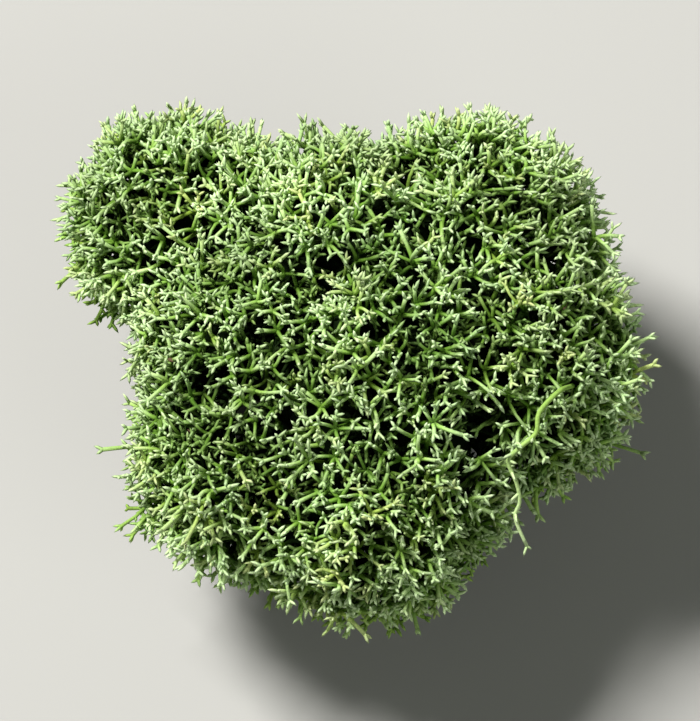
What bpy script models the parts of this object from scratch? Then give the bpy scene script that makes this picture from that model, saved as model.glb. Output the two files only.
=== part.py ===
"""Reindeer moss clump: bushy podetium heads grown close together on one cluster of stalks.

Every head is a faceted core covered with short stems, and every stem ends in a star of three arms.
One skin runs over all the heads and fills the grooves between them, as the moss grows closed. Below it
the heads share their space by flat walls that lean from crown to foot, so no head enters another.
"""

import math
import random
from typing import NamedTuple

import bmesh
import bpy
from mathutils import Matrix, Vector, noise

MM = 0.001
SEED = 417


class Podetium(NamedTuple):
    """One bushy head on its stalk: place of its crown, its girth and its height, in millimetres."""

    name: str
    x: float
    y: float
    radius: float
    crown: float
    tint: tuple


# The heads, the middle one first, as seen from above with +Y away from the viewer
PODETIA = (
    Podetium("podetium_centre", 2.0, -2.6, 13.0, 38.0, (0.22, 0.34, 0.06)),
    Podetium("podetium_right", 14.0, -2.0, 12.3, 34.5, (0.24, 0.36, 0.07)),
    Podetium("podetium_back_right", 10.4, 9.4, 12.8, 35.0, (0.21, 0.33, 0.06)),
    Podetium("podetium_back", -3.2, 7.6, 11.6, 36.5, (0.23, 0.36, 0.06)),
    Podetium("podetium_back_left", -17.0, 12.8, 11.2, 30.5, (0.19, 0.30, 0.05)),
    Podetium("podetium_left", -9.2, -1.0, 11.6, 35.5, (0.25, 0.38, 0.07)),
    Podetium("podetium_front_left", -10.8, -10.8, 11.2, 31.5, (0.20, 0.31, 0.05)),
    Podetium("podetium_front", 1.0, -14.2, 12.4, 33.5, (0.22, 0.35, 0.06)),
)

# Form of a head
UPWARD_SHARE = 1.15
LOWEST_BULGE = 1.5 * MM
INWARD_LEAN = 0.6
LUMP_SHARE = 0.08
LUMPS_PER_TURN = 2.1
LUMP_DRIFT = 10 * MM
GROOVE_FILL = 1.5 * MM
MOST_FILL = 3 * GROOVE_FILL
FILL_STEPS = 8
WALL_MARGIN = 0.2 * MM
LOWEST_TWIG = 1.0 * MM

# Corners of the core, wide apart where the head lies against a neighbour
CORNER_SPACING = 2.45 * MM
HIDDEN_SPACING = math.radians(24)
FIRST_RING = math.radians(18)
TRIES = 5000

# Twigs: depths as shares of their length, widths as shares of the core's face, shorter against a neighbour
TWIG_LENGTH = 4.4 * MM
MOST_TWIG_SHARE = 0.3
TOP_DEPTH = 0.36
HUB_DEPTH = 0.30
TIP_DEPTHS = (0.0, 0.16)
STEM_FOOT = 0.5
STEM_HEAD = 0.2
STEM_TURN = (math.radians(38), math.radians(82))
ARM_TURN = math.radians(12)
ARM_REACH = (0.62, 0.9)

# Stalk, from the core down to its cut end
FOOT_SHARE = 0.4
STALK_RADIUS = 1.9 * MM
FOOT_RADIUS = 2.7 * MM
STALK_RINGS = ((0.5, STALK_RADIUS), (1.0, FOOT_RADIUS))
STALK_TINT = (0.17, 0.12, 0.06)

ROUGHNESS = 0.92


class Head:
    """The space that one podetium may fill: a lumpy egg shape cut by the walls to its neighbours."""

    def __init__(self, podetium, origin):
        self.podetium = podetium
        self.radius = podetium.radius * MM
        middle_height = podetium.crown * MM - self.radius * UPWARD_SHARE
        self.middle = Vector((podetium.x * MM, podetium.y * MM, middle_height))
        offset = Vector((podetium.x - origin.x, podetium.y - origin.y, 0))
        self.foot = offset * FOOT_SHARE * MM
        self.walls = []
        self.neighbours = []

    def add_neighbour(self, other):
        """Keep another head and the plane between both, through both crowns' and both feet's midpoints."""
        self.neighbours.append(other)
        share = self.radius / (self.radius + other.radius)
        high = self.middle.lerp(other.middle, share)
        low = self.foot.lerp(other.foot, 0.5)
        along = (high - low).normalized()
        across = other.middle - self.middle
        normal = (across - along * across.dot(along)).normalized()
        self.walls.append((high - normal * WALL_MARGIN, normal))

    def own_reach(self, direction):
        """Distance from the middle to the egg shape alone, in a unit direction."""
        height = self.radius * UPWARD_SHARE
        flat = Vector((direction.x, direction.y))
        if direction.z < 0:
            height = self.middle.z - LOWEST_BULGE
            flat += (self.foot - self.middle).xy * direction.z * INWARD_LEAN / self.middle.z
        lump = noise.noise(direction * LUMPS_PER_TURN + self.middle / LUMP_DRIFT)
        return (1 + LUMP_SHARE * lump) / math.hypot(flat.length / self.radius, direction.z / height)

    def outside(self, point):
        """Distance, roughly, of a point from the egg shape."""
        offset = point - self.middle
        return (offset.length / self.own_reach(offset.normalized()) - 1) * self.radius

    def open_reach(self, direction):
        """Distance from the middle to the skin over all the heads, which fills the grooves between them."""
        low = self.own_reach(direction)
        high = low + MOST_FILL
        for _ in range(FILL_STEPS):
            half = (low + high) / 2
            point = self.middle + direction * half
            fill = math.exp(-self.outside(point) / GROOVE_FILL)
            fill += sum(math.exp(-other.outside(point) / GROOVE_FILL) for other in self.neighbours)
            low, high = (half, high) if fill > 1 else (low, half)
        return high

    def cut(self, direction, distance):
        """The distance from the middle, held back by the nearest wall and the ground."""
        for point, normal in self.walls:
            slope = direction.dot(normal)
            if slope > 0:
                distance = min(distance, (point - self.middle).dot(normal) / slope)
        if direction.z < 0:
            distance = min(distance, (self.middle.z - LOWEST_TWIG) / -direction.z)
        return distance

    def is_hidden(self, direction):
        """Whether a unit direction ends against a neighbour or the ground."""
        open_reach = self.open_reach(direction)
        return self.cut(direction, open_reach) < open_reach

    def at(self, direction, depth):
        """The point in a direction, a share of the twig's length below the surface."""
        unit = direction.normalized()
        open_reach = self.open_reach(unit)
        reach = self.cut(unit, open_reach)
        length = min(TWIG_LENGTH, MOST_TWIG_SHARE * reach * reach / open_reach)
        return self.middle + unit * (reach - depth * length)

    def inside(self, point, axis_point):
        """The point, drawn towards the stalk's axis until it is clear of every wall."""
        outward = point - axis_point
        length = 1.0
        for wall_point, normal in self.walls:
            slope = outward.dot(normal)
            if slope > 0:
                length = min(length, (wall_point - axis_point).dot(normal) / slope)
        return axis_point + outward * length


def in_face(axis, corners, angle, share):
    """A direction that leans from a face's axis at an angle, by a share of the way to the face's edge."""
    start = (corners[0] - axis * corners[0].dot(axis)).normalized()
    lean = Matrix.Rotation(angle, 3, axis) @ start
    furthest = math.inf
    for first, second in zip(corners, corners[1:] + corners[:1]):
        edge_normal = first.cross(second)
        slope = -lean.dot(edge_normal)
        if slope > 0:
            furthest = min(furthest, axis.dot(edge_normal) / slope)
    return (axis + lean * furthest * share).normalized()


def add_spike(bm, head, base):
    """Raise one plain point on the core's face between three vertices."""
    directions = [vertex.co - head.middle for vertex in base]
    tip = bm.verts.new(head.at(directions[0] + directions[1] + directions[2], TIP_DEPTHS[0]))
    for first, second in zip(base, base[1:] + base[:1]):
        bm.faces.new((first, second, tip))


def add_twig(bm, head, base, draw):
    """Raise a stem with a star of three arms on the core's face between three vertices."""
    corners = [(vertex.co - head.middle).normalized() for vertex in base]
    axis = (corners[0] + corners[1] + corners[2]).normalized()
    turn = Matrix.Rotation(draw.uniform(*STEM_TURN), 3, axis)
    foot = [bm.verts.new(head.at(axis.lerp(corner, STEM_FOOT), 1.0)) for corner in corners]
    tops = [turn @ axis.lerp(corner, STEM_HEAD) for corner in corners]
    top = [bm.verts.new(head.at(direction, TOP_DEPTH)) for direction in tops]
    hub = bm.verts.new(head.at(axis, HUB_DEPTH))
    for k in range(3):
        after = (k + 1) % 3
        bm.faces.new((base[k], base[after], foot[after], foot[k]))
        bm.faces.new((foot[k], foot[after], top[k]))
        bm.faces.new((foot[after], top[after], top[k]))
        flat = [direction - axis * direction.dot(axis) for direction in (corners[0], tops[k] + tops[after])]
        angle = math.atan2(flat[0].cross(flat[1]).dot(axis), flat[0].dot(flat[1]))
        angle += draw.uniform(-ARM_TURN, ARM_TURN)
        lean = in_face(axis, corners, angle, draw.uniform(*ARM_REACH))
        tip = bm.verts.new(head.at(lean, draw.uniform(*TIP_DEPTHS)))
        bm.faces.new((top[k], top[after], tip))
        bm.faces.new((top[after], hub, tip))
        bm.faces.new((hub, top[k], tip))


def core_directions(head, draw):
    """Directions of the core's corners, evenly apart and drawn at random, the one to the foot first."""
    lowest = (head.foot - head.middle).normalized()
    chosen = []
    places = []
    for _ in range(TRIES):
        unit = Vector([draw.gauss(0, 1) for _ in range(3)]).normalized()
        if unit.angle(lowest) < FIRST_RING:
            continue
        place = head.at(unit, 1.0)
        if head.is_hidden(unit):
            apart = all(unit.angle(other) > HIDDEN_SPACING for other in chosen)
        else:
            apart = all((place - other).length > CORNER_SPACING for other in places)
        if apart:
            chosen.append(unit)
            places.append(place)
    return [lowest] + chosen


def add_core(bm, head, draw):
    """Join the core's corners to triangles, then lay them on the core. Returns the corner at the foot."""
    corners = [bm.verts.new(direction) for direction in core_directions(head, draw)]
    bmesh.ops.convex_hull(bm, input=corners)
    bmesh.ops.recalc_face_normals(bm, faces=bm.faces)
    for corner in corners:
        corner.co = head.at(corner.co, 1.0)
    return corners[0]


def add_stalk(bm, head, opening):
    """Lead the ring of vertices round the core's opening down to a flat cut end on the ground."""
    start = sum((vertex.co for vertex in opening), Vector()) / len(opening)
    side = opening[0].co - start
    across = side - Vector((0, 0, side.z))
    ring = opening
    for share, radius in STALK_RINGS:
        middle = start.lerp(head.foot, share)
        lower = []
        for k in range(len(opening)):
            spoke = Matrix.Rotation(math.tau * k / len(opening), 3, "Z") @ across.normalized() * radius
            lower.append(bm.verts.new(head.inside(middle + spoke, middle)))
        for k, vertex in enumerate(ring):
            after = (k + 1) % len(ring)
            face = bm.faces.new((vertex, lower[k], lower[after], ring[after]))
            face.material_index = 1
            face.smooth = True
        ring = lower
    bm.faces.new(ring[::-1]).material_index = 1


def ring_round(head, vertex):
    """The neighbours of the vertex at the foot, in turning order seen from above."""
    upward = (head.middle - head.foot).normalized()
    side = upward.orthogonal().normalized()
    front = upward.cross(side)
    others = [edge.other_vert(vertex) for edge in vertex.link_edges]
    spokes = {other: (other.co - head.middle).normalized() for other in others}
    return sorted(others, key=lambda other: math.atan2(spokes[other].dot(front), spokes[other].dot(side)))


def plain_material(name, tint):
    """A matte Principled material."""
    material = bpy.data.materials.new(name)
    material.use_nodes = True
    shader = material.node_tree.nodes["Principled BSDF"]
    shader.inputs["Base Color"].default_value = (*tint, 1)
    shader.inputs["Roughness"].default_value = ROUGHNESS
    shader.inputs["Metallic"].default_value = 0.0
    material.diffuse_color = (*tint, 1)
    return material


def build_podetium(head, stalk_material):
    """Make one head with its twigs and its stalk as one closed mesh object."""
    name = head.podetium.name
    draw = random.Random(f"{SEED} {name}")
    bm = bmesh.new()
    lowest = add_core(bm, head, draw)
    opening = ring_round(head, lowest)
    bmesh.ops.delete(bm, geom=[lowest], context="VERTS")
    for face in list(bm.faces):
        base = list(face.verts)
        bm.faces.remove(face)
        outward = sum((vertex.co - head.middle for vertex in base), Vector()).normalized()
        if head.is_hidden(outward):
            add_spike(bm, head, base)
        else:
            add_twig(bm, head, base, draw)
    add_stalk(bm, head, opening)
    bmesh.ops.recalc_face_normals(bm, faces=bm.faces)
    bmesh.ops.triangulate(bm, faces=bm.faces)
    mesh = bpy.data.meshes.new(name)
    bm.to_mesh(mesh)
    bm.free()
    mesh.materials.append(plain_material(f"moss_{name}", head.podetium.tint))
    mesh.materials.append(stalk_material)
    bpy.context.scene.collection.objects.link(bpy.data.objects.new(name, mesh))


def main():
    for leftover in list(bpy.data.objects):
        bpy.data.objects.remove(leftover)
    heads = [Head(podetium, PODETIA[0]) for podetium in PODETIA]
    for head in heads:
        for other in heads:
            if other is not head:
                head.add_neighbour(other)
    stalk_material = plain_material("moss_stalk", STALK_TINT)
    for head in heads:
        build_podetium(head, stalk_material)


main()
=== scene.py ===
"""Looks of a clump of dyed, preserved reindeer moss.

Star-shaped whorls of short rays are scattered under one surface that runs across all the heads. In each
head, neighbouring whorls are then joined to twigs, twigs to branches, and branches to the stalks, round
a shell for the inner tangle. Painted shade makes deeper parts greener and then near black. One thin
bare stem crosses a hollow, and flecks of litter lie across the outer whorls.
"""

import logging
import math
from dataclasses import dataclass, field
from enum import Enum
from typing import Any, Iterable, Sequence, Union

import bmesh
import bpy
import numpy as np
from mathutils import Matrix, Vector
from mathutils.kdtree import KDTree


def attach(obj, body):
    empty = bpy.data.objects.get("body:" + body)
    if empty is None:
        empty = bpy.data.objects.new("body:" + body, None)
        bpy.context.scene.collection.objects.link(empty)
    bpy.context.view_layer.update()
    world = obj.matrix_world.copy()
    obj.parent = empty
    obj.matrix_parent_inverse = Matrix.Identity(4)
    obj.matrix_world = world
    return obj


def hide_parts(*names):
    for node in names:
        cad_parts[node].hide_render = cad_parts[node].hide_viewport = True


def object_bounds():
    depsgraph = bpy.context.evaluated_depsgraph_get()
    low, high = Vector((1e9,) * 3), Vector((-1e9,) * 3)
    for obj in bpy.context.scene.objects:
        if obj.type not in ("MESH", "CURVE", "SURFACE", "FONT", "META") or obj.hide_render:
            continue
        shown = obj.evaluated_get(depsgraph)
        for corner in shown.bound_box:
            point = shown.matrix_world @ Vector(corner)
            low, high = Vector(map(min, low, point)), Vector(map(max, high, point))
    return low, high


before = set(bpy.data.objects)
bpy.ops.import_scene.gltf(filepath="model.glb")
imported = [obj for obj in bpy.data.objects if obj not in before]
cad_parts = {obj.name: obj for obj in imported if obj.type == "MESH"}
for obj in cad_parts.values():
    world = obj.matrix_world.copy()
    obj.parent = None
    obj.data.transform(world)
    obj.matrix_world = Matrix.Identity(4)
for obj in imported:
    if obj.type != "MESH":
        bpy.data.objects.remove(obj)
cad_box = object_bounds()

LOG = logging.getLogger("moss_clump")
MM = 0.001
SEED = 2048
BODY = "root"
GROUND_GAP = 0.03 * MM
WITHERED_HEIGHT = 20 * MM
WITHERED_AGE = 0.75
BATCH = 20000

TURN_SCATTER = 0.3
SLIGHT = 1e-6
TINY = 1e-12

Array = np.ndarray
Rng = np.random.Generator
Colour = tuple[float, float, float, float]
Triple = tuple[float, float, float]
Span = tuple[float, float]


class Value:
    """A shader's number: an output socket whose arithmetic adds Math nodes."""

    def __init__(self, shader: "Shader", socket: bpy.types.NodeSocket) -> None:
        """Wrap an output socket of a shader that new nodes are added to."""
        self.shader = shader
        self.socket = socket

    def _math(self, operation: str, first: "Number", second: "Number") -> "Value":
        """The result of a new Math node on two numbers."""
        return self.shader.value("ShaderNodeMath", {"operation": operation}, {0: first, 1: second})

    def __add__(self, other: "Number") -> "Value":
        """Sum with another number."""
        return self._math("ADD", self, other)

    def __radd__(self, other: "Number") -> "Value":
        """Sum with a number on the left."""
        return self._math("ADD", other, self)

    def __sub__(self, other: "Number") -> "Value":
        """Difference from another number."""
        return self._math("SUBTRACT", self, other)

    def __rsub__(self, other: "Number") -> "Value":
        """Difference of a number on the left."""
        return self._math("SUBTRACT", other, self)

    def __mul__(self, other: "Number") -> "Value":
        """Product with another number."""
        return self._math("MULTIPLY", self, other)

    def __rmul__(self, other: "Number") -> "Value":
        """Product with a number on the left."""
        return self._math("MULTIPLY", other, self)

    def __pow__(self, other: "Number") -> "Value":
        """Power of this number."""
        return self._math("POWER", self, other)

    def clamped(self) -> "Value":
        """The number held between 0 and 1."""
        return self.shader.value("ShaderNodeClamp", {}, {0: self})


Number = Union[Value, float]


class Shader:
    """A material's node tree with its Principled shader."""

    MIX_FACTOR, MIX_A, MIX_B, MIX_OUT = 0, 6, 7, 2

    def __init__(self, name: str) -> None:
        """Start a material.

        Args:
            name: The material's name.
        """
        self.material = bpy.data.materials.new(name)
        self.material.use_nodes = True
        self.tree = self.material.node_tree
        self.principled = self.tree.nodes["Principled BSDF"]

    def node(self, kind: str, settings: dict[str, Any], inputs: dict[Any, Any]) -> bpy.types.Node:
        """Add a node.

        Args:
            kind: The node's type.
            settings: Its properties, and a ramp's stops under "stops".
            inputs: Values or links of its sockets, by name or number.

        Returns:
            The new node.
        """
        made = self.tree.nodes.new(kind)
        for name, setting in settings.items():
            if name == "stops":
                self._set_stops(made.color_ramp, setting)
            else:
                setattr(made, name, setting)
        self._feed(made, inputs)
        return made

    def value(
        self, kind: str, settings: dict[str, Any], inputs: dict[Any, Any], output: Union[str, int] = 0
    ) -> Value:
        """One output of a new node, by the output's name or number."""
        return Value(self, self.node(kind, settings, inputs).outputs[output])

    def attribute(self, name: str) -> Value:
        """A number stored on the mesh's points."""
        return self.value("ShaderNodeAttribute", {"attribute_name": name}, {}, "Fac")

    def noise(self, size: float, detail: float = 2.0, distortion: float = 0.0) -> Value:
        """Noise that is fixed to the object.

        Args:
            size: The size of its patches in metres.
            detail: Its octaves.
            distortion: How far its patches are drawn out.

        Returns:
            The noise, from 0 to 1.
        """
        place = self.value("ShaderNodeTexCoord", {}, {}, "Object")
        inputs = {"Vector": place, "Scale": 1 / size, "Detail": detail, "Distortion": distortion}
        return self.value("ShaderNodeTexNoise", {}, inputs, "Fac")

    def ramp(self, factor: Value, stops: Sequence[tuple[float, Colour]]) -> Value:
        """A colour for each value of a factor, from its stops' places and colours."""
        return self.value("ShaderNodeValToRGB", {"stops": stops}, {"Fac": factor}, "Color")

    def mix(self, factor: Number, first: Any, second: Any, blend: str = "MIX") -> Value:
        """Blend two colours.

        Args:
            factor: The share of the second.
            first: The first colour.
            second: The second colour.
            blend: The way to blend.

        Returns:
            The blended colour.
        """
        settings = {"data_type": "RGBA", "blend_type": blend}
        inputs = {self.MIX_FACTOR: factor, self.MIX_A: first, self.MIX_B: second}
        return self.value("ShaderNodeMix", settings, inputs, self.MIX_OUT)

    def bump(self, height: Value, strength: float, distance: float) -> Value:
        """A normal that is roughened by a height of 0 to 1, which spans a distance in metres."""
        inputs = {"Strength": strength, "Distance": distance, "Height": height}
        return self.value("ShaderNodeBump", {}, inputs, "Normal")

    def finish(self, **sockets: Any) -> bpy.types.Material:
        """The material, after its sockets are set by their names, with _ for a space."""
        self._feed(self.principled, {name.replace("_", " "): value for name, value in sockets.items()})
        return self.material

    def _feed(self, node: bpy.types.Node, inputs: dict[Any, Any]) -> None:
        """Link or set a node's sockets.

        Args:
            node: The node.
            inputs: Values or links, by the socket's name or number.
        """
        for name, given in inputs.items():
            if isinstance(given, Value):
                self.tree.links.new(given.socket, node.inputs[name])
            else:
                node.inputs[name].default_value = given

    @staticmethod
    def _set_stops(ramp: bpy.types.ColorRamp, stops: Sequence[tuple[float, Colour]]) -> None:
        """Give a ramp its stops.

        Args:
            ramp: The ramp.
            stops: Places along it with their colours.
        """
        while len(ramp.elements) < len(stops):
            ramp.elements.new(1.0)
        for element, (place, colour) in zip(ramp.elements, stops):
            element.position = place
            element.color = colour


class Trait(Enum):
    """A number that every point of the moss carries for its finish."""

    AGE = "age"
    SHADE = "shade"
    DEPTH = "depth"


@dataclass(frozen=True)
class MossFinish:
    """Dyed lichen: matte and felted, palest at the youngest tips and brown at the dead base."""

    tip: Colour = (0.605, 0.75, 0.52, 1)
    young: Colour = (0.33, 0.525, 0.138, 1)
    twig: Colour = (0.132, 0.265, 0.026, 1)
    branch: Colour = (0.07, 0.105, 0.016, 1)
    dead: Colour = (0.085, 0.060, 0.032, 1)
    yellowed: Colour = (0.46, 0.45, 0.12, 1)
    blued: Colour = (0.13, 0.33, 0.10, 1)
    # painted shade: the greener, darker tint that deeper parts are multiplied by
    painted_shade_tint: Colour = (0.80, 1.0, 0.50, 1)
    # painted shade: the near-black colour that the deepest parts are blended to
    hollow: Colour = (0.002, 0.008, 0.001, 1)
    thin: Colour = (0.70, 0.72, 0.60, 1)
    lush: Colour = (1.15, 1.18, 1.12, 1)
    fibre_dark: Colour = (0.35, 0.38, 0.3, 1)
    fibre_light: Colour = (1.35, 1.3, 1.1, 1)
    stops: tuple[float, ...] = (0.0, 0.18, 0.42, 0.66, 0.9)
    vigour_stops: Span = (0.3, 0.7)
    fibre_stops: Span = (0.3, 0.62)
    patch_size: float = 7 * MM
    patch_gain: float = 1.2
    shade_gain: float = 1.6
    yellow_start: float = 0.9
    yellow_share: float = 0.65
    blue_start: float = 0.55
    blue_share: float = 0.55
    # painted shade: how fast the tint and the near-black rise with depth
    painted_shade_tint_rise: float = 2.4
    painted_shade_curve: float = 0.7
    painted_shade_share: float = 0.97
    speckle_share: float = 0.35
    felt_size: float = 0.16 * MM
    felt_height: float = 0.05 * MM
    felt_strength: float = 0.55
    roughness: float = 0.82
    roughness_spread: float = 0.2
    shine: float = 0.08

    def material(self) -> bpy.types.Material:
        """Make the material.

        Returns:
            The material.
        """
        shader = Shader("dyed_moss")
        age, shade, depth = (shader.attribute(trait.value) for trait in Trait)
        colours = (self.tip, self.young, self.twig, self.branch, self.dead)
        colour = shader.ramp(age, list(zip(self.stops, colours)))
        patches = shader.noise(self.patch_size, detail=3)
        tone = shade * self.shade_gain
        yellow = ((tone - self.yellow_start) + (patches - 0.5) * self.patch_gain).clamped()
        blue = ((self.blue_start - tone) + (0.5 - patches) * self.patch_gain).clamped()
        colour = shader.mix(yellow * (1 - age) * self.yellow_share, colour, self.yellowed)
        colour = shader.mix(blue * (1 - age) * self.blue_share, colour, self.blued)
        vigour = shader.ramp(patches, list(zip(self.vigour_stops, (self.thin, self.lush))))
        colour = shader.mix(1.0, colour, vigour, "MULTIPLY")
        felt = shader.noise(self.felt_size, detail=3, distortion=0.6)
        fibres = shader.ramp(felt, list(zip(self.fibre_stops, (self.fibre_dark, self.fibre_light))))
        speckled = shader.mix(1.0, colour, fibres, "MULTIPLY")
        colour = shader.mix(self.speckle_share, colour, speckled)
        # Painted shade: deeper parts are tinted greener, then blended to near black.
        painted_shade_tint = (depth * self.painted_shade_tint_rise).clamped()
        colour = shader.mix(painted_shade_tint, colour, self.painted_shade_tint, "MULTIPLY")
        # painted shade: blend deeper parts towards near black
        colour = shader.mix(depth ** self.painted_shade_curve * self.painted_shade_share, colour, self.hollow)
        smoothest = self.roughness - self.roughness_spread / 2
        return shader.finish(
            Base_Color=colour,
            Roughness=(felt * self.roughness_spread + smoothest).clamped(),
            Normal=shader.bump(felt, self.felt_strength, self.felt_height),
            Specular_IOR_Level=self.shine,
        )


@dataclass(frozen=True)
class LitterFinish:
    """Dry plant litter: brown, with a darker grain."""

    light: Colour = (0.13, 0.078, 0.036, 1)
    dark: Colour = (0.035, 0.02, 0.011, 1)
    grain_size: float = 0.5 * MM
    grain_height: float = 0.08 * MM
    grain_strength: float = 0.6
    contrast: float = 1.8
    smoothest: float = 0.55
    roughness_spread: float = 0.25

    def material(self) -> bpy.types.Material:
        """Make the material.

        Returns:
            The material.
        """
        shader = Shader("dry_litter")
        grain = shader.noise(self.grain_size, detail=4, distortion=1.5)
        lightness = (grain * self.contrast - (self.contrast - 1) / 2).clamped()
        return shader.finish(
            Base_Color=shader.mix(lightness, self.dark, self.light),
            Roughness=(grain * self.roughness_spread + self.smoothest).clamped(),
            Normal=shader.bump(grain, self.grain_strength, self.grain_height),
        )


@dataclass(frozen=True)
class FloorFinish:
    """A plain pale surface."""

    colour: Colour = (0.40, 0.40, 0.39, 1)
    roughness: float = 0.9

    def material(self) -> bpy.types.Material:
        """Make the material."""
        return Shader("pale_floor").finish(Base_Color=self.colour, Roughness=self.roughness)


def linked(name: str, data: bpy.types.ID) -> bpy.types.Object:
    """Make an object and link it to the scene.

    Args:
        name: Its name.
        data: Its mesh, light or camera.

    Returns:
        The object.
    """
    made = bpy.data.objects.new(name, data)
    bpy.context.scene.collection.objects.link(made)
    return made


def unit(vectors: Array) -> Array:
    """Vectors scaled to length 1."""
    return vectors / np.maximum(np.linalg.norm(vectors, axis=-1, keepdims=True), TINY)


def across(axes: Array, rng: Rng) -> tuple[Array, Array]:
    """Two directions square to each axis and to each other, turned at random."""
    side = unit(np.cross(axes, unit(rng.normal(size=axes.shape)) + SLIGHT))
    return side, np.cross(axes, side)


def fanned(axes: Array, counts: Array, opening: Span, rng: Rng) -> tuple[Array, Array]:
    """Directions that open round axes like the ribs of an umbrella.

    Args:
        axes: Unit vectors.
        counts: The number of directions round each.
        opening: The least and the greatest angle from the axis, in degrees.
        rng: The source of the irregularity.

    Returns:
        The number of each direction's axis, and the directions.
    """
    owner = np.repeat(np.arange(len(counts)), counts)
    order = np.arange(len(owner)) - np.repeat(np.cumsum(counts) - counts, counts)
    side, front = across(axes, rng)
    turn = order * math.tau / counts[owner] + rng.normal(0, TURN_SCATTER, len(owner))
    angle = np.radians(rng.uniform(*opening, len(owner)))[:, None]
    flat = np.cos(turn)[:, None] * side[owner] + np.sin(turn)[:, None] * front[owner]
    return owner, np.cos(angle) * axes[owner] + np.sin(angle) * flat


def curved(starts: Array, first: Array, ends: Array, second: Array, shares: Array) -> Array:
    """Smooth curves between points.

    Args:
        starts: Where the curves start.
        first: How fast they set off there, along the way they set off.
        ends: Where they end.
        second: How fast they arrive there, along the way they arrive.
        shares: The shares of the way at which they have a point.

    Returns:
        Their points, curves by shares by 3.
    """
    share = shares[None, :, None]
    arrived = share ** 2 * (3 - 2 * share)
    return (
        (1 - arrived) * starts[:, None]
        + share * (1 - share) ** 2 * first[:, None]
        + arrived * ends[:, None]
        - share ** 2 * (1 - share) * second[:, None]
    )


def thinned(places: Array, spacing: Array) -> Array:
    """Choose points that keep their distance.

    Args:
        places: The points, in the order in which they are tried.
        spacing: The distance that each keeps from those before it.

    Returns:
        The numbers of the chosen points.
    """
    size = float(spacing.max())
    steps = [(x, y, z) for x in (-1, 0, 1) for y in (-1, 0, 1) for z in (-1, 0, 1)]
    cells: dict[tuple[int, int, int], list[list[float]]] = {}
    chosen = []
    rows = zip(places.tolist(), np.floor(places / size).astype(int).tolist(), spacing.tolist())
    for number, (place, (x, y, z), gap) in enumerate(rows):
        near = (other for i, j, k in steps for other in cells.get((x + i, y + j, z + k), ()))
        if all(math.dist(place, other) > gap for other in near):
            cells.setdefault((x, y, z), []).append(place)
            chosen.append(number)
    return np.array(chosen)


def past_planes(places: Array, normals: Array, offsets: Array) -> Array:
    """How far points lie past the one of some planes that they lie furthest past.

    Args:
        places: The points.
        normals: The planes' unit normals.
        offsets: The planes' distances from the origin along their normals.

    Returns:
        A distance for each point, less than 0 before all the planes.
    """
    slopes, limits = normals.T.astype(np.float32), offsets.astype(np.float32)
    parts = np.array_split(places.astype(np.float32), len(places) // BATCH + 1)
    return np.concatenate([(part @ slopes - limits).max(axis=1) for part in parts])


def sorted_places(places: Array) -> KDTree:
    """Sort points for a quick search.

    Args:
        places: The points.

    Returns:
        The tree that finds them.
    """
    tree = KDTree(len(places))
    for number, place in enumerate(places):
        tree.insert(place, number)
    tree.balance()
    return tree


@dataclass
class HeadSpace:
    """The convex space that one head fills, read from its solid."""

    node: str
    corners: Array
    normals: Array
    offsets: Array
    middle: Array
    foot: Array

    MIDDLE_SHARE = 0.35
    FOOT_HEIGHT = 0.1 * MM

    @classmethod
    def of_node(cls, node: str) -> "HeadSpace":
        """Read the space of a node.

        Args:
            node: The node's name.

        Returns:
            The space.
        """
        bm = bmesh.new()
        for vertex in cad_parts[node].data.vertices:
            bm.verts.new(vertex.co)
        bmesh.ops.convex_hull(bm, input=bm.verts)
        loose = [vertex for vertex in bm.verts if not vertex.link_faces]
        bmesh.ops.delete(bm, geom=loose, context="VERTS")
        bmesh.ops.triangulate(bm, faces=bm.faces)
        bmesh.ops.recalc_face_normals(bm, faces=bm.faces)
        bm.normal_update()
        faces = [face for face in bm.faces if face.calc_area() > 0]
        corners = np.array([[vertex.co for vertex in face.verts] for face in faces])
        normals = np.array([face.normal for face in faces])
        rim = np.array([vertex.co for vertex in bm.verts])
        bm.free()
        low, high = rim[:, 2].min(), rim[:, 2].max()
        middle = rim[rim[:, 2] > low + cls.MIDDLE_SHARE * (high - low)].mean(axis=0)
        foot = rim[rim[:, 2] < low + cls.FOOT_HEIGHT].mean(axis=0)
        offsets = np.einsum("ij,ij->i", normals, corners[:, 0])
        return cls(node, corners, normals, offsets, middle, foot)

    def sample(self, density: float, rng: Rng) -> tuple[Array, Array]:
        """Random points spread evenly over the surface.

        Args:
            density: Their number for each square metre.
            rng: Their source.

        Returns:
            The points and the outward normals there.
        """
        edges = self.corners[:, 1:] - self.corners[:, :1]
        areas = np.linalg.norm(np.cross(edges[:, 0], edges[:, 1]), axis=1) / 2
        face = rng.choice(len(areas), int(density * areas.sum()), p=areas / areas.sum())
        shares = rng.dirichlet((1, 1, 1), len(face))[..., None]
        return (self.corners[face] * shares).sum(axis=1), self.normals[face]

    def reach(self, directions: Array) -> Array:
        """How far the surface lies from the middle.

        Args:
            directions: Unit vectors.

        Returns:
            The distance in each direction.
        """
        slopes = directions @ self.normals.T
        room = self.offsets - self.normals @ self.middle
        return np.where(slopes > SLIGHT, room / np.maximum(slopes, SLIGHT), np.inf).min(axis=1)

    def outside(self, places: Array) -> Array:
        """How far points lie outside the space, or less than 0 inside it."""
        return past_planes(places, self.normals, self.offsets)


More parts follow.
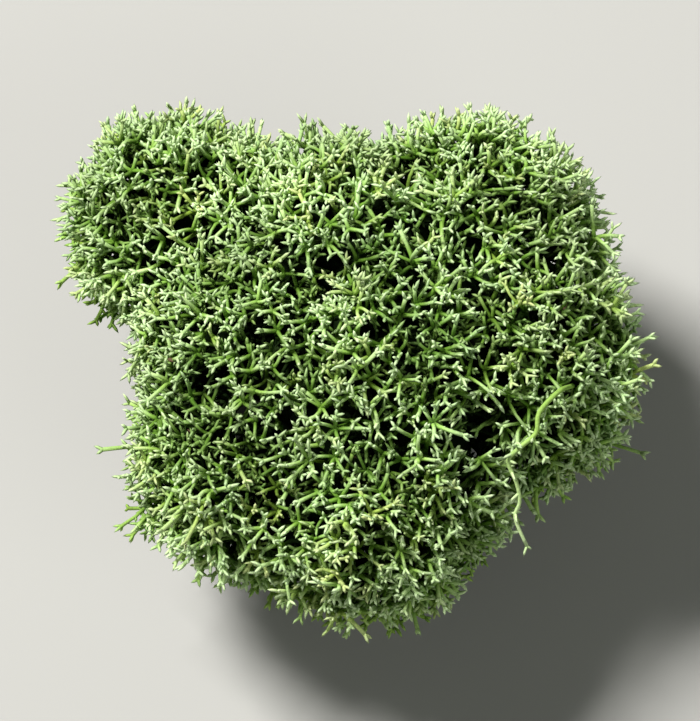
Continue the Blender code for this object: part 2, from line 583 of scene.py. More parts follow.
@dataclass
class DepthGrid:
    """How deep every place lies under the clump's surface, kept on a grid.

    Narrow gaps between the heads count as filled.
    """

    low: Array
    depths: Array
    step: float
    lit_depth: float = 0.45 * MM
    dark_depth: float = 3.2 * MM

    FILLED_GAP = 2.0 * MM
    MARGIN = 4.0 * MM
    EDGE_ROOM = 1.001

    @classmethod
    def over(cls, spaces: Sequence[HeadSpace], step: float) -> "DepthGrid":
        """Measure the depth of the grid's points from the free air around the clump.

        Args:
            spaces: The heads' spaces.
            step: The distance between its points.

        Returns:
            The grid.
        """
        low = np.array(cad_box[0]) - cls.MARGIN
        counts = np.ceil((np.array(cad_box[1]) + cls.MARGIN - low) / step).astype(int) + 1
        points = np.stack(np.meshgrid(*map(np.arange, counts), indexing="ij"), axis=-1)
        places = low + points.reshape(-1, 3) * step
        outside = np.min([space.outside(places) for space in spaces], axis=0)
        free = outside >= cls.FILLED_GAP
        air = np.flatnonzero(free & (outside < cls.FILLED_GAP + 2 * step))
        tree = sorted_places(places[air])
        depths = np.zeros(len(places))
        for number in np.flatnonzero(~free):
            _, nearest, distance = tree.find(places[number])
            depths[number] = distance - outside[air[nearest]]
        return cls(low, np.maximum(depths, 0).reshape(counts), step)

    def depth(self, places: Array) -> Array:
        """The depth under the surface.

        Args:
            places: The points.

        Returns:
            A depth for each point, read between the grid's own points.
        """
        most = np.array(self.depths.shape) - self.EDGE_ROOM
        scaled = np.clip((places - self.low) / self.step, 0, most)
        cell = scaled.astype(int)
        share = scaled - cell
        depth = np.zeros(len(places))
        for corner in np.ndindex(2, 2, 2):
            weight = np.where(corner, share, 1 - share).prod(axis=1)
            depth += weight * self.depths[tuple((cell + corner).T)]
        return depth

    def outward(self, places: Array) -> Array:
        """The directions in which the depth falls fastest.

        Args:
            places: The points.

        Returns:
            A unit vector for each.
        """
        steps = np.eye(3) * self.step
        slopes = [self.depth(places - step) - self.depth(places + step) for step in steps]
        return unit(np.stack(slopes, axis=1))

    def darkness(self, places: Array) -> Array:
        """The depth of points from 0 near the surface to 1 well inside, which sets their painted shade.
        """
        return np.clip((self.depth(places) - self.lit_depth) / (self.dark_depth - self.lit_depth), 0, 1)


@dataclass
class Skin:
    """Points spread densely over all the heads and across the grooves between them."""

    places: Array
    normals: Array

    GROOVE_DEPTH = 4.5 * MM
    LEVEL_DEPTH = 1.0 * MM
    BLEND_REACH = 2.2 * MM

    @classmethod
    def over(cls, spaces: Sequence[HeadSpace], grid: DepthGrid, density: float, rng: Rng) -> "Skin":
        """Spread the points over the heads, and lift those in grooves to the level of the rims.

        Args:
            spaces: The heads' spaces.
            grid: The depth under the clump's surface.
            density: The number of points for each square metre.
            rng: Their source.

        Returns:
            The skin, with its points in random order.
        """
        samples = zip(*(space.sample(density, rng) for space in spaces))
        places, normals = (np.concatenate(rows) for rows in samples)
        order = rng.permutation(np.flatnonzero(grid.depth(places) < cls.GROOVE_DEPTH))
        places, normals = places[order], normals[order]
        depth = grid.depth(places)[:, None]
        outward = grid.outward(places)
        level = np.clip(depth / cls.LEVEL_DEPTH, 0, 1)
        return cls(places + outward * depth, unit(normals * (1 - level) + outward * level))

    def __post_init__(self) -> None:
        """Sort the points."""
        self.tree = sorted_places(self.places)

    def outward(self, places: Array) -> Array:
        """The outward directions on the surface, blended across its edges.

        Args:
            places: Points of the skin.

        Returns:
            A unit vector for each.
        """
        blended = []
        for place in places:
            near = [number for _, number, _ in self.tree.find_range(place, self.BLEND_REACH)]
            blended.append(self.normals[near].mean(axis=0))
        return unit(np.array(blended))


@dataclass(frozen=True)
class Layer:
    """One layer of whorls: how deep they sit, how far apart, and how many rays each has."""

    sink: float
    spacing: float
    rays: tuple[int, int]


@dataclass
class Whorls:
    """Star-shaped whorls at the ends of the twigs."""

    places: Array
    axes: Array

    def __getitem__(self, chosen: Array) -> "Whorls":
        """Some of the whorls."""
        return Whorls(self.places[chosen], self.axes[chosen])


@dataclass
class Relief:
    """The small lobes that the skin bulges in, and the pits between the twigs."""

    tops: Array
    roots: Array
    lobe_width: float
    pits: Array
    pit_radii: Array

    PIT_RIM = 1.7
    MOST_HOLLOW = 1.2

    def fan(self, places: Array) -> Array:
        """The directions in which each place's lobe fans out there."""
        return unit(places - self.roots[self._from_tops(places).argmin(axis=1)])

    def hollow(self, places: Array) -> Array:
        """How far between the lobes each place lies: 0 on their tops, 1 where they meet."""
        share = self._from_tops(places).min(axis=1) / self.lobe_width
        return np.clip(share, 0, self.MOST_HOLLOW) ** 2

    def pitted(self, places: Array) -> Array:
        """How far in a pit each place lies: 0 outside its rim, 1 well inside."""
        distance = np.linalg.norm(places[:, None] - self.pits[None], axis=2) / self.pit_radii
        return np.clip(self.PIT_RIM - distance.min(axis=1), 0, 1)

    def _from_tops(self, places: Array) -> Array:
        """The distances from each place to the tops."""
        return np.linalg.norm(places[:, None] - self.tops[None], axis=2)


@dataclass
class Clump:
    """All the heads together: their common skin, its relief and the whorls under it.

    The pits beside the bare stem are places and radii in millimetres.
    """

    spaces: list[HeadSpace]
    layers: tuple[Layer, ...] = (
        Layer(1.05 * MM, 1.5 * MM, (3, 5)),
        Layer(2.6 * MM, 1.95 * MM, (3, 4)),
        Layer(4.2 * MM, 2.4 * MM, (2, 3)),
    )
    tries_per_area: float = 9 / MM ** 2
    grid_step: float = 1.0 * MM
    lobe_spacing: float = 6.5 * MM
    lobe_depth: float = 1.2 * MM
    lobe_root: float = 6.0 * MM
    lobe_share: float = 0.6
    pit_spacing: float = 4.6 * MM
    pit_radius: Span = (0.5 * MM, 1.4 * MM)
    pit_depth: float = 2.2 * MM
    pit_loss: Span = (0.55, 1.0)
    stem_pits: tuple[tuple[float, float, float, float], ...] = (
        (11.4, -11.4, 31.0, 1.8), (10.4, -15.2, 28.6, 1.1), (17.8, -12.8, 27.0, 1.5),
    )
    fan_share: float = 0.6
    axis_scatter: float = 0.14
    sink_scatter: float = 0.4 * MM
    lowest: float = 1.4 * MM
    underside_slope: float = -0.35
    underside_spacing: float = 1.8

    def __post_init__(self) -> None:
        """Measure the depths."""
        self.grid = DepthGrid.over(self.spaces, self.grid_step)

    def scatter(self, rng: Rng) -> dict[str, list[Whorls]]:
        """Spread whorls over the clump.

        Args:
            rng: The source of their places.

        Returns:
            Each head's whorls, a set for each layer.
        """
        skin = Skin.over(self.spaces, self.grid, self.tries_per_area, rng)
        tops = self._spaced(skin.places, self.lobe_spacing)
        pits = self._spaced(skin.places[::-1], self.pit_spacing)
        roots = tops - skin.outward(tops) * self.lobe_root
        beside_stem = np.array(self.stem_pits) * MM
        pit_radii = np.concatenate([rng.uniform(*self.pit_radius, len(pits)), beside_stem[:, 3]])
        pits = np.concatenate([pits, beside_stem[:, :3]])
        relief = Relief(tops, roots, self.lobe_spacing * self.lobe_share, pits, pit_radii)
        sets = [self._spread(layer, skin, relief, rng) for layer in self.layers]
        return {space.node: list(column) for space, column in zip(self.spaces, zip(*sets))}

    @staticmethod
    def _spaced(places: Array, spacing: float) -> Array:
        """Some of the places, a distance apart."""
        return places[thinned(places, np.full(len(places), spacing))]

    def _spread(self, layer: Layer, skin: Skin, relief: Relief, rng: Rng) -> list[Whorls]:
        """Spread one layer's whorls under the skin.

        Args:
            layer: The layer.
            skin: The clump's skin.
            relief: Its lobes and pits.
            rng: The source of the whorls' places.

        Returns:
            The whorls of each head.
        """
        order = rng.permutation(len(skin.places))
        below = skin.normals[order, 2] < self.underside_slope
        spacing = layer.spacing * np.where(below, self.underside_spacing, 1.0)
        places = skin.places[order[thinned(skin.places[order], spacing)]]
        pitted = relief.pitted(places)
        kept = pitted < rng.uniform(*self.pit_loss, len(places))
        places, pitted = places[kept], pitted[kept]
        outward = skin.outward(places)
        lean = rng.normal(0, self.axis_scatter, places.shape)
        axes = unit(self.fan_share * relief.fan(places) + (1 - self.fan_share) * outward + lean)
        sink = layer.sink + self.lobe_depth * relief.hollow(places) + self.pit_depth * pitted
        sink += rng.uniform(-1, 1, len(places)) * self.sink_scatter
        sunk = places - outward * sink[:, None]
        whorls = Whorls(sunk, axes)[sunk[:, 2] > self.lowest]
        owner = np.argmin([space.outside(whorls.places) for space in self.spaces], axis=0)
        return [whorls[owner == number] for number in range(len(self.spaces))]


@dataclass
class Tissue:
    """Faces of moss gathered from many tubes, with the traits of their points."""

    CUT_CORNERS = 6
    STEEP = 0.9
    AGE, SHADE, DEPTH = range(len(Trait))

    places: list[Array] = field(default_factory=list)
    traits: list[Array] = field(default_factory=list)
    faces: list[Array] = field(default_factory=list)
    count: int = 0

    def add(self, places: Array, traits: Array, faces: Iterable[Array]) -> None:
        """Add points and faces.

        Args:
            places: The points.
            traits: A row of trait values for each point.
            faces: Arrays of corner numbers, one array for each number of corners.
        """
        self.places.append(places)
        self.traits.append(traits)
        self.faces.extend(rows + self.count for rows in faces)
        self.count += len(places)

    def add_tubes(
        self, paths: Array, radii: Array, ages: Array, shades: Array, sides: int, pointed: bool = False
    ) -> None:
        """Add closed tubes of one number of rings.

        Args:
            paths: Ring centres, tubes by rings by 3.
            radii: The radius of each ring, tubes by rings.
            ages: The age of each ring, tubes by rings.
            shades: One shade for each tube.
            sides: The number of sides.
            pointed: Whether the last ring is a single point.
        """
        tubes, rings = len(paths), paths.shape[1] - pointed
        shell = self._rings(paths, radii, sides)[:, :rings].reshape(tubes, -1, 3)
        ages_round = np.repeat(ages[:, :rings], sides, axis=1)
        if pointed:
            shell = np.concatenate([shell, paths[:, -1:]], axis=1)
            ages_round = np.concatenate([ages_round, ages[:, -1:]], axis=1)
        traits = np.zeros((*shell.shape[:2], len(Trait)))
        traits[..., self.AGE] = ages_round
        traits[..., self.SHADE] = shades[:, None]
        here = np.arange(sides)
        after = (here + 1) % sides
        wall = np.stack([here, after, sides + after, sides + here], axis=-1)
        walls = (wall + (np.arange(rings - 1) * sides)[:, None, None]).reshape(-1, 4)
        last = (rings - 1) * sides
        end = np.stack([last + here, last + after, np.full(sides, last + sides)], axis=-1)
        if not pointed:
            end = last + here[None]
        starts = np.arange(tubes)[:, None, None] * shell.shape[1]
        faces = [(rows + starts).reshape(-1, rows.shape[1]) for rows in (walls, here[None, ::-1], end)]
        self.add(shell.reshape(-1, 3), traits.reshape(-1, len(Trait)), faces)

    def _rings(self, paths: Array, radii: Array, sides: int) -> Array:
        """Points round the centres of rings, square to their tube and without a twist.

        Args:
            paths: Ring centres, tubes by rings by 3.
            radii: The radius of each ring.
            sides: The number of points in a ring.

        Returns:
            The points, tubes by rings by sides by 3.
        """
        along = unit(np.gradient(paths, axis=1))
        level = np.abs(along[:, 0, 2:3]) < self.STEEP
        helper = np.where(level, [[0.0, 0.0, 1.0]], [[1.0, 0.0, 0.0]])
        spoke = unit(np.cross(along[:, 0], helper))
        turns = (np.arange(sides) * math.tau / sides)[None, :, None]
        shell = np.empty((*paths.shape[:2], sides, 3))
        for ring in range(paths.shape[1]):
            ahead = along[:, ring]
            spoke = unit(spoke - ahead * np.sum(spoke * ahead, axis=1, keepdims=True))
            circle = np.cos(turns) * spoke[:, None] + np.sin(turns) * np.cross(ahead, spoke)[:, None]
            shell[:, ring] = paths[:, ring, None] + circle * radii[:, ring, None, None]
        return shell

    def to_object(self, name: str, grid: DepthGrid) -> bpy.types.Object:
        """Make one object of everything.

        Args:
            name: The object's name.
            grid: Gives the depth trait of the points.

        Returns:
            The object, shaded smooth but for cut ends with six corners or more.
        """
        places = np.concatenate(self.places)
        places[:, 2] = np.maximum(places[:, 2], GROUND_GAP)
        traits = np.concatenate(self.traits)
        traits[:, self.AGE] += WITHERED_AGE * np.clip(1 - places[:, 2] / WITHERED_HEIGHT, 0, 1)
        # The depth trait sets the painted shade of deeper points.
        traits[:, self.DEPTH] = grid.darkness(places)
        totals = np.concatenate([np.full(len(rows), rows.shape[1]) for rows in self.faces])
        corners = np.concatenate([rows.ravel() for rows in self.faces])
        starts = np.concatenate([[0], np.cumsum(totals)[:-1]])
        mesh = bpy.data.meshes.new(name)
        mesh.vertices.add(len(places))
        mesh.vertices.foreach_set("co", places.astype(np.float32).ravel())
        mesh.loops.add(len(corners))
        mesh.loops.foreach_set("vertex_index", corners.astype(np.int32))
        mesh.polygons.add(len(totals))
        mesh.polygons.foreach_set("loop_start", starts.astype(np.int32))
        mesh.polygons.foreach_set("use_smooth", totals < self.CUT_CORNERS)
        mesh.update(calc_edges=True)
        mesh.validate()
        for column, trait in enumerate(Trait):
            stored = mesh.attributes.new(trait.value, "FLOAT", "POINT")
            stored.data.foreach_set("value", traits[:, column].astype(np.float32))
        return linked(name, mesh)


@dataclass(frozen=True)
class BareStem:
    """A thin stem with a few spurs that one head sends out over the hollow beside it.

    Its bends are places in millimetres.
    """

    node: str = "podetium_right"
    bends: tuple[Triple, ...] = (
        (19.3, -6.6, 30.4), (18.0, -7.8, 32.7), (16.2, -9.7, 32.4), (15.9, -11.4, 31.5),
        (14.5, -12.5, 30.7), (13.4, -13.5, 29.6), (14.2, -15.2, 28.2), (14.5, -16.6, 26.9),
        (14.1, -17.8, 25.8), (15.2, -20.0, 24.0),
    )
    sides: int = 6
    points_each: int = 4
    radii: Span = (0.25 * MM, 0.17 * MM)
    ages: Span = (0.24, 0.05)
    tone: float = 0.6
    spur_rings: tuple[int, ...] = (7, 13, 18, 22, 26, 31)

    def path(self) -> Array:
        """Draw a smooth curve through the bends.

        Returns:
            Its points.
        """
        bends = np.array(self.bends) * MM
        speed = np.gradient(bends, axis=0)
        shares = np.arange(self.points_each) / self.points_each
        runs = curved(bends[:-1], speed[:-1], bends[1:], speed[1:], shares)
        return np.concatenate([runs.reshape(-1, 3), bends[-1:]])


@dataclass(frozen=True)
class Profile:
    """The rings of a kind of tube: their places along it, their widths and their ages."""

    steps: tuple[float, ...]
    widths: tuple[float, ...]
    ages: tuple[float, ...]


@dataclass(frozen=True)
class Prongs:
    """Short pointed twigs: how many grow together, how likely, how far apart and how long."""

    counts: tuple[int, ...]
    chances: tuple[float, ...]
    opening: Span
    length: Span


@dataclass
class Podetium:
    """One bushy head: whorls under its surface, and the branches that carry them to the stalks."""

    space: HeadSpace
    clump: Clump
    whorls: Sequence[Whorls]
    rng: Rng
    bare_stem: BareStem = BareStem()
    joint_steps: tuple[float, ...] = (1.5 * MM, 2.0 * MM, 2.6 * MM, 3.4 * MM, 4.2 * MM, 5.0 * MM)
    joint_reach: tuple[float, ...] = (2.4 * MM, 3.6 * MM, 5.2 * MM, 7.5 * MM, 10 * MM, 13 * MM)
    last_step: float = 1.6
    fork_angle: float = 0.6
    group_sizes: tuple[int, ...] = (2, 3, 4)
    group_chances: tuple[float, ...] = (0.35, 0.4, 0.25)
    stem_radii: tuple[float, ...] = (
        0.2 * MM, 0.24 * MM, 0.3 * MM, 0.39 * MM, 0.5 * MM, 0.64 * MM, 0.8 * MM,
    )
    stem_ages: tuple[float, ...] = (0.30, 0.42, 0.54, 0.66, 0.76, 0.86, 0.92)
    stem_wander: float = 0.06
    stem_taper: float = 1.15
    stem_sizes: Span = (0.85, 1.2)
    twig_rings_sides: tuple[int, int] = (3, 4)
    branch_rings_sides: tuple[int, int] = (4, 5)
    ray_length: Span = (1.1 * MM, 1.9 * MM)
    ray_opening: Span = (34, 74)
    ray_radius: float = 0.205 * MM
    ray_lift: Span = (-0.3, 0.6)
    ray_bend: float = 0.5
    ray_profile: Profile = Profile(
        (-0.1, 0.3, 0.65, 1.0), (1.15, 0.95, 0.85, 0.95), (0.28, 0.20, 0.13, 0.09)
    )
    ray_sides: int = 5
    thickness: Span = (0.85, 1.15)
    size_scatter: float = 0.16
    mean_tone: float = 0.5
    tone_scatter: float = 0.22
    forks: Prongs = Prongs((2, 3), (0.8, 0.2), (26, 56), (0.55 * MM, 1.0 * MM))
    nubs: Prongs = Prongs((0, 1), (0.55, 0.45), (48, 80), (0.4 * MM, 0.65 * MM))
    spurs: Prongs = Prongs((1, 2), (0.6, 0.4), (40, 75), (0.6 * MM, 1.2 * MM))
    prong_sides: int = 4
    prong_bend: float = 0.35
    prong_scatter: float = 0.2
    prong_width: float = 0.82
    prong_profile: Profile = Profile((-0.12, 0.66, 1.0), (1.0, 0.84, 0.0), (0.09, 0.03, 0.0))
    stalk_count: int = 3
    stalk_rings: int = 9
    stalk_sides: int = 8
    stalk_tones: Span = (0.3, 0.7)
    stalk_radii: Span = (0.85 * MM, 0.61 * MM)
    stalk_ages: Span = (1.0, 0.86)
    stalk_spread: Span = (1.25 * MM, 2.6 * MM)
    stalk_share: float = 0.8
    stalk_sway: float = 0.28 * MM
    branch_slope: float = 0.72
    climb_cost: float = 4.0
    core_depth: float = 4.8 * MM
    core_lift: float = 4.0 * MM
    core_lumps: float = 1.2 * MM
    core_share: float = 0.15
    core_steps: int = 40
    core_detail: int = 4
    core_traits: Triple = (0.75, 0.4, 0.0)
    wall_overlap: float = 5.0 * MM
    tissue: Tissue = field(default_factory=Tissue)

    def build(self) -> bpy.types.Object:
        """Grow the head.

        Returns:
            The object.
        """
        for whorls, layer in zip(self.whorls, self.clump.layers):
            self._grow_whorls(whorls, layer.rays)
        self._join(self._grow_stalks())
        self._grow_core()
        if self.space.node == self.bare_stem.node:
            self._grow_bare_stem()
        return self.tissue.to_object(f"moss_{self.space.node}", self.clump.grid)

    def dress(self, head: bpy.types.Object, material: bpy.types.Material) -> None:
        """Finish the head and put it in its place in the frame.

        Args:
            head: The head's object.
            material: Its material.
        """
        head.data.materials.append(material)
        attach(head, BODY)
        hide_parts(self.space.node)

    def _grow_whorls(self, whorls: Whorls, rays: tuple[int, int]) -> None:
        """Make the rays and prongs of whorls.

        Args:
            whorls: The whorls.
            rays: The least and the greatest number of rays of each.
        """
        rng = self.rng
        counts = rng.integers(rays[0], rays[1] + 1, len(whorls.places))
        owner, ahead = fanned(whorls.axes, counts, self.ray_opening, rng)
        size = np.exp(rng.normal(0, self.size_scatter, len(counts)))[owner]
        length = rng.uniform(*self.ray_length, len(owner)) * size
        lift = whorls.axes[owner] * rng.uniform(*self.ray_lift, len(owner))[:, None]
        bend = lift + rng.normal(0, self.ray_bend, ahead.shape)
        paths = self._bent(whorls.places[owner], ahead, bend, length, self.ray_profile.steps)
        thick = self.ray_radius * rng.uniform(*self.thickness, len(owner))
        tone = self._tones(len(counts))[owner]
        self._add_profiled(self.ray_profile, paths, thick, tone, self.ray_sides)
        self._grow_prongs(self.forks, paths[:, -1], unit(ahead + bend), thick, tone)
        self._grow_prongs(self.nubs, paths[:, -2], unit(ahead + bend), thick, tone)

    def _tones(self, count: int) -> Array:
        """Random shades from 0 to 1."""
        return np.clip(self.rng.normal(self.mean_tone, self.tone_scatter, count), 0, 1)

    def _grow_prongs(self, kind: Prongs, places: Array, axes: Array, thick: Array, tone: Array) -> None:
        """Grow short pointed twigs from rays or stems.

        Args:
            kind: The kind of twig.
            places: Where they grow.
            axes: The rays' directions there.
            thick: The rays' radii.
            tone: The rays' shades.
        """
        rng = self.rng
        counts = rng.choice(kind.counts, len(places), p=kind.chances)
        owner, ahead = fanned(axes, counts, kind.opening, rng)
        length = rng.uniform(*kind.length, len(owner))
        bend = axes[owner] * self.prong_bend + rng.normal(0, self.prong_scatter, ahead.shape)
        paths = self._bent(places[owner], ahead, bend, length, self.prong_profile.steps)
        thin = thick[owner] * self.prong_width
        self._add_profiled(self.prong_profile, paths, thin, tone[owner], self.prong_sides)

    def _add_profiled(
        self, profile: Profile, paths: Array, thick: Array, tone: Array, sides: int
    ) -> None:
        """Add tubes of one profile to the tissue.

        Args:
            profile: The profile.
            paths: Ring centres, tubes by rings by 3.
            thick: The tubes' radii.
            tone: Their shades.
            sides: Their number of sides.
        """
        radii = thick[:, None] * np.array(profile.widths)
        ages = np.tile(profile.ages, (len(paths), 1))
        self.tissue.add_tubes(paths, radii, ages, tone, sides, pointed=profile.widths[-1] == 0)

    @staticmethod
    def _bent(starts: Array, ahead: Array, bend: Array, length: Array, steps: Sequence[float]) -> Array:
        """Paths that set off in one direction and bend to another.

        Args:
            starts: Where they start.
            ahead: The directions at the start.
            bend: What is added to the directions by the end.
            length: Their lengths.
            steps: The places of the rings as shares of the length.

        Returns:
            Ring centres, paths by rings by 3.
        """
        share = np.array(steps)[None, :, None]
        run = share * ahead[:, None] + 0.5 * share ** 2 * bend[:, None]
        return starts[:, None] + length[:, None, None] * run

    def _grow_stalks(self) -> Array:
        """Make the bare stalks from the cut end to the head's heart.

        Returns:
            Ring centres of the stalks, stalks by rings by 3.
        """
        rng = self.rng
        heights = np.linspace(0, 1, self.stalk_rings)
        turn = rng.uniform(0, math.tau) + np.arange(self.stalk_count) * math.tau / self.stalk_count
        ring = np.stack([np.cos(turn), np.sin(turn), np.zeros(len(turn))], axis=1)
        low = self.space.foot + ring * self.stalk_spread[0]
        heart = self.space.foot + (self.space.middle - self.space.foot) * self.stalk_share
        high = heart + ring * self.stalk_spread[1]
        paths = low[:, None] + (high - low)[:, None] * heights[None, :, None]
        sway = np.cumsum(rng.normal(0, self.stalk_sway, paths.shape), axis=1)
        paths += sway * np.sin(heights * math.pi)[None, :, None]
        paths[:, 0, 2] = GROUND_GAP
        thick = rng.uniform(*self.thickness, (self.stalk_count, 1))
        radii = np.linspace(*self.stalk_radii, len(heights))[None] * thick
        ages = np.tile(np.linspace(*self.stalk_ages, len(heights)), (self.stalk_count, 1))
        tones = rng.uniform(*self.stalk_tones, self.stalk_count)
        self.tissue.add_tubes(paths, radii, ages, tones, self.stalk_sides)
        return paths

    def _anchors(self, places: Array, stalks: Array) -> Array:
        """The points of the stalks that branches at some places grow from.

        Args:
            places: The places.
            stalks: Ring centres of the stalks.

        Returns:
            A point on a stalk for each place.
        """
        rings = stalks.reshape(-1, 3)
        distance = np.linalg.norm(places[:, None] - rings[None], axis=2)
        above = rings[None, :, 2] - places[:, None, 2] * self.branch_slope
        cost = distance + self.climb_cost * np.maximum(above, 0)
        return rings[cost.argmin(axis=1)]

    def _join(self, stalks: Array) -> None:
        """Join whorls to twigs, twigs to branches and branches to the stalks.

        Args:
            stalks: Ring centres of the stalks.
        """
        places = axes = np.empty((0, 3))
        for level, (step, reach) in enumerate(zip(self.joint_steps, self.joint_reach)):
            if level < len(self.whorls):
                places = np.concatenate([places, self.whorls[level].places])
                axes = np.concatenate([axes, self.whorls[level].axes])
            group = self._groups(places, reach)
            members = [places[group == number] for number in range(group.max() + 1)]
            parents = np.array([rows.mean(axis=0) for rows in members])
            anchors = self._anchors(parents, stalks)
            run = anchors - parents
            distance = np.linalg.norm(run, axis=1, keepdims=True)
            near = distance[:, 0] < self.last_step * step
            parents = parents + run * np.minimum(step / distance, 1)
            parents[near] = anchors[near]
            sums = np.zeros_like(parents)
            np.add.at(sums, group, places - parents[group])
            parent_axes = unit(unit(sums) - unit(run) * self.fork_angle)
            self._grow_stems(places, axes, parents[group], parent_axes[group], level)
            places, axes = parents[~near], parent_axes[~near]
            if not len(places):
                return
        anchors = self._anchors(places, stalks)
        self._grow_stems(places, axes, anchors, unit(places - anchors), len(self.joint_steps))

    def _groups(self, places: Array, reach: float) -> Array:
        """Put neighbouring places together in twos, threes and fours.

        Args:
            places: The places.
            reach: The greatest distance within a group.

        Returns:
            The number of each place's group.
        """
        group = np.full(len(places), -1)
        number = 0
        for first in self.rng.permutation(len(places)):
            if group[first] >= 0:
                continue
            distance = np.linalg.norm(places - places[first], axis=1)
            free = np.flatnonzero((group < 0) & (distance < reach))
            size = self.rng.choice(self.group_sizes, p=self.group_chances)
            group[free[distance[free].argsort()[:size]]] = number
            number += 1
        return group

    def _grow_stems(
        self, ends: Array, end_axes: Array, starts: Array, start_axes: Array, level: int
    ) -> None:
        """Make curved stems.

        Args:
            ends: Where the stems end, at what they carry.
            end_axes: Their directions there.
            starts: Where they branch off.
            start_axes: Their directions there.
            level: The level of the branching, 0 at the whorls.
        """
        rng = self.rng
        rings, sides = self.twig_rings_sides if level == 0 else self.branch_rings_sides
        run = ends - starts
        length = np.linalg.norm(run, axis=1, keepdims=True)
        first, second = (unit(axes + unit(run)) * length for axes in (start_axes, end_axes))
        paths = curved(starts, first, ends, second, np.linspace(0, 1, rings))
        paths[:, 1:-1] += rng.normal(0, self.stem_wander, (len(ends), rings - 2, 3)) * length[:, None]
        taper = np.linspace(self.stem_taper, 1, rings) * rng.uniform(*self.stem_sizes, (len(ends), 1))
        older = self.stem_ages[min(level + 1, len(self.stem_ages) - 1)]
        ages = np.tile(np.linspace(older, self.stem_ages[level], rings), (len(ends), 1))
        radii = self.stem_radii[level] * taper
        self.tissue.add_tubes(paths, radii, ages, self._tones(len(ends)), sides)

    def _grow_core(self) -> None:
        """Make a shell for the inner tangle, which no light comes through, darkened by painted shade.
        """
        bm = bmesh.new()
        bmesh.ops.create_icosphere(bm, subdivisions=self.core_detail, radius=1.0)
        directions = unit(np.array([vertex.co for vertex in bm.verts]))
        faces = np.array([[vertex.index for vertex in face.verts] for face in bm.faces])
        bm.free()
        limit = self.space.reach(directions) + self.wall_overlap
        shares = np.linspace(0, 1, self.core_steps)
        trail = self.space.middle + directions[:, None] * (limit[:, None] * shares)[..., None]
        depth = self.clump.grid.depth(trail.reshape(-1, 3)).reshape(len(limit), -1)
        needed = self.core_depth + self.core_lift * np.clip(-directions[:, 2], 0, 1)
        needed += self.rng.uniform(0, self.core_lumps, len(limit))
        last = np.logical_and.accumulate(depth > needed[:, None], axis=1).sum(axis=1) - 1
        reach = limit * np.maximum(shares[last.clip(0)], self.core_share)
        places = self.space.middle + directions * reach[:, None]
        self.tissue.add(places, np.tile(self.core_traits, (len(places), 1)), (faces,))

    def _grow_bare_stem(self) -> None:
        """Make the bare stem, its spurs and the fork at its end."""
        stem = self.bare_stem
        path = stem.path()
        ahead = unit(np.gradient(path, axis=0))
        radii, ages = (np.linspace(*ends, len(path)) for ends in (stem.radii, stem.ages))
        tone = np.full(len(path), stem.tone)
        self.tissue.add_tubes(path[None], radii[None], ages[None], tone[:1], stem.sides)
        for kind, rings in ((self.spurs, list(stem.spur_rings)), (self.forks, [-1])):
            self._grow_prongs(kind, path[rings], ahead[rings], radii[rings], tone[rings])


@dataclass
class Litter:
    """Flecks of bark and bits of needle caught in the moss."""

    rng: Rng
    flecks: int = 10
    length: Span = (1.0 * MM, 2.2 * MM)
    radius: float = 0.19 * MM
    least_upward: float = 0.3
    lift: float = 0.25 * MM
    most_bow: float = 0.9
    sides: int = 6
    thickness: Span = (0.6, 1.2)
    outline: tuple[float, ...] = (0.35, 0.9, 1.1, 1.0, 0.8, 0.3)

    def build(self, outer: Sequence[Whorls], grid: DepthGrid) -> bpy.types.Object:
        """Make the flecks, each across a whorl that holds it.

        Args:
            outer: Each head's outermost whorls.
            grid: The depth under the clump's surface.

        Returns:
            The object.
        """
        rng = self.rng
        centres, axes = (
            np.concatenate(rows) for rows in zip(*((whorls.places, whorls.axes) for whorls in outer))
        )
        upper = np.flatnonzero(axes[:, 2] > self.least_upward)
        chosen = rng.choice(upper, self.flecks, replace=False)
        places, normals = centres[chosen] + axes[chosen] * self.lift, axes[chosen]
        run = unit(np.cross(normals, unit(rng.normal(size=normals.shape))))
        steps = np.linspace(-0.5, 0.5, len(self.outline))[None, :, None]
        reach = rng.uniform(*self.length, (len(places), 1, 1))
        paths = places[:, None] + run[:, None] * steps * reach
        bow = steps ** 2 * reach * rng.uniform(-self.most_bow, self.most_bow, reach.shape)
        paths += np.cross(run, normals)[:, None] * bow
        radii = self.radius * np.array(self.outline) * rng.uniform(*self.thickness, (len(places), 1))
        tissue = Tissue()
        tissue.add_tubes(paths, radii, np.zeros(radii.shape), np.zeros(len(places)), self.sides)
        return tissue.to_object("moss_litter", grid)

    def dress(self, litter: bpy.types.Object, finish: LitterFinish) -> None:
        """Finish the flecks.

        Args:
            litter: Their object.
            finish: Their finish.
        """
        litter.data.materials.append(finish.material())
        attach(litter, BODY)


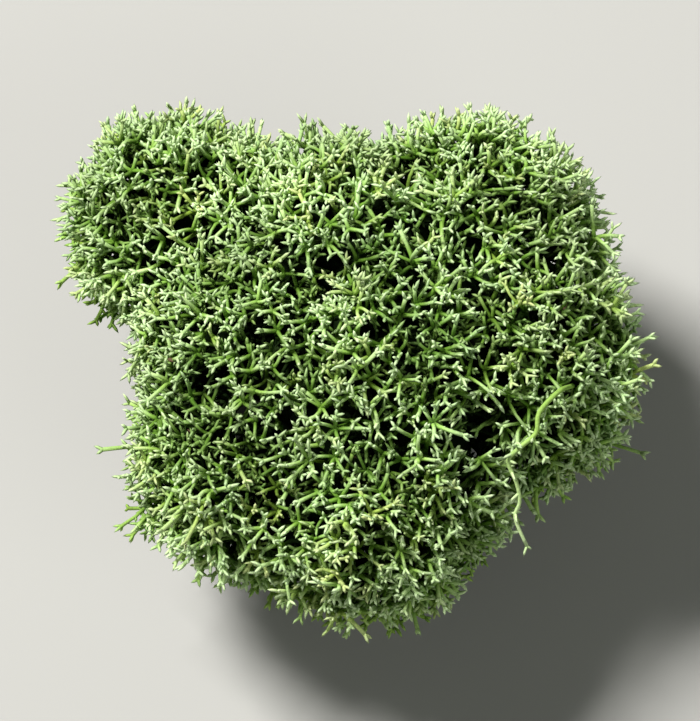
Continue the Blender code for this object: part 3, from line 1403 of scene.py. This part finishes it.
@dataclass
class Studio:
    """Pale floor, soft light and a camera that looks down on the crown as the photo does."""

    target: Triple = (-1.0 * MM, -1.0 * MM, 20 * MM)
    elevation: float = 73.0
    distance: float = 0.56
    lens: float = 300.0
    nearest: float = 1 * MM
    floor_size: float = 3.0
    key_place: Triple = (-0.60, 0.48, 1.08)
    key_colour: Triple = (1.0, 0.98, 0.94)
    key_power: float = 34.5
    key_size: float = 0.36
    fill_place: Triple = (0.80, -0.70, 0.80)
    fill_colour: Triple = (0.97, 1.0, 0.92)
    fill_power: float = 4.0
    fill_size: float = 0.8
    room_light: float = 0.09

    def build(self) -> None:
        """Make the floor, the lights and the camera."""
        self._floor()
        self._camera()
        self._light("key_light", self.key_place, self.key_power, self.key_colour, self.key_size)
        self._light("fill_light", self.fill_place, self.fill_power, self.fill_colour, self.fill_size)
        world = bpy.data.worlds.new("soft_room")
        world.use_nodes = True
        background = world.node_tree.nodes["Background"]
        background.inputs["Color"].default_value = (*self.fill_colour, 1)
        background.inputs["Strength"].default_value = self.room_light
        bpy.context.scene.world = world
        bpy.context.scene.view_settings.view_transform = "Standard"

    def _floor(self) -> None:
        """Lay the floor."""
        bm = bmesh.new()
        bmesh.ops.create_grid(bm, x_segments=1, y_segments=1, size=self.floor_size / 2)
        mesh = bpy.data.meshes.new("floor")
        bm.to_mesh(mesh)
        bm.free()
        mesh.materials.append(FloorFinish().material())
        floor = linked("floor", mesh)

    def _camera(self) -> None:
        """Set up the camera."""
        lens = bpy.data.cameras.new("camera")
        lens.lens = self.lens
        lens.clip_start = self.nearest
        camera = linked("camera", lens)
        angle = math.radians(self.elevation)
        back = Vector((0, -math.cos(angle), math.sin(angle)))
        camera.location = Vector(self.target) + back * self.distance
        camera.rotation_euler = (-back).to_track_quat("-Z", "Y").to_euler()
        bpy.context.scene.camera = camera

    def _light(
        self, name: str, place: Sequence[float], power: float, colour: Sequence[float], size: float
    ) -> None:
        """Hang one soft light that shines on the clump.

        Args:
            name: The light's name.
            place: Where it hangs.
            power: Its power in watts.
            colour: Its colour.
            size: The side of its square in metres.
        """
        lamp = bpy.data.lights.new(name, "AREA")
        lamp.energy, lamp.size, lamp.color = power, size, colour
        light = linked(name, lamp)
        light.location = place
        light.rotation_euler = (Vector(self.target) - Vector(place)).to_track_quat("-Z", "Y").to_euler()


def main() -> None:
    """Build every piece and report it."""
    logging.basicConfig(level=logging.INFO, format="%(name)s: %(message)s")
    Studio().build()
    clump = Clump([HeadSpace.of_node(node) for node in sorted(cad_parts)])
    whorls = clump.scatter(np.random.default_rng(SEED))
    material = MossFinish().material()
    total = 0
    for number, space in enumerate(clump.spaces):
        podetium = Podetium(space, clump, whorls[space.node], np.random.default_rng([SEED, number]))
        head = podetium.build()
        podetium.dress(head, material)
        triangles = sum(face.loop_total - 2 for face in head.data.polygons)
        total += triangles
        counts = [len(layer.places) for layer in podetium.whorls]
        LOG.info("%s: %s whorls, %d triangles", head.name, counts, triangles)
    litter = Litter(np.random.default_rng(SEED))
    flecks = litter.build([layers[0] for layers in whorls.values()], clump.grid)
    litter.dress(flecks, LitterFinish())
    LOG.info("%s: %d faces; all heads: %d triangles", flecks.name, len(flecks.data.polygons), total)


if __name__ == "__main__":
    main()
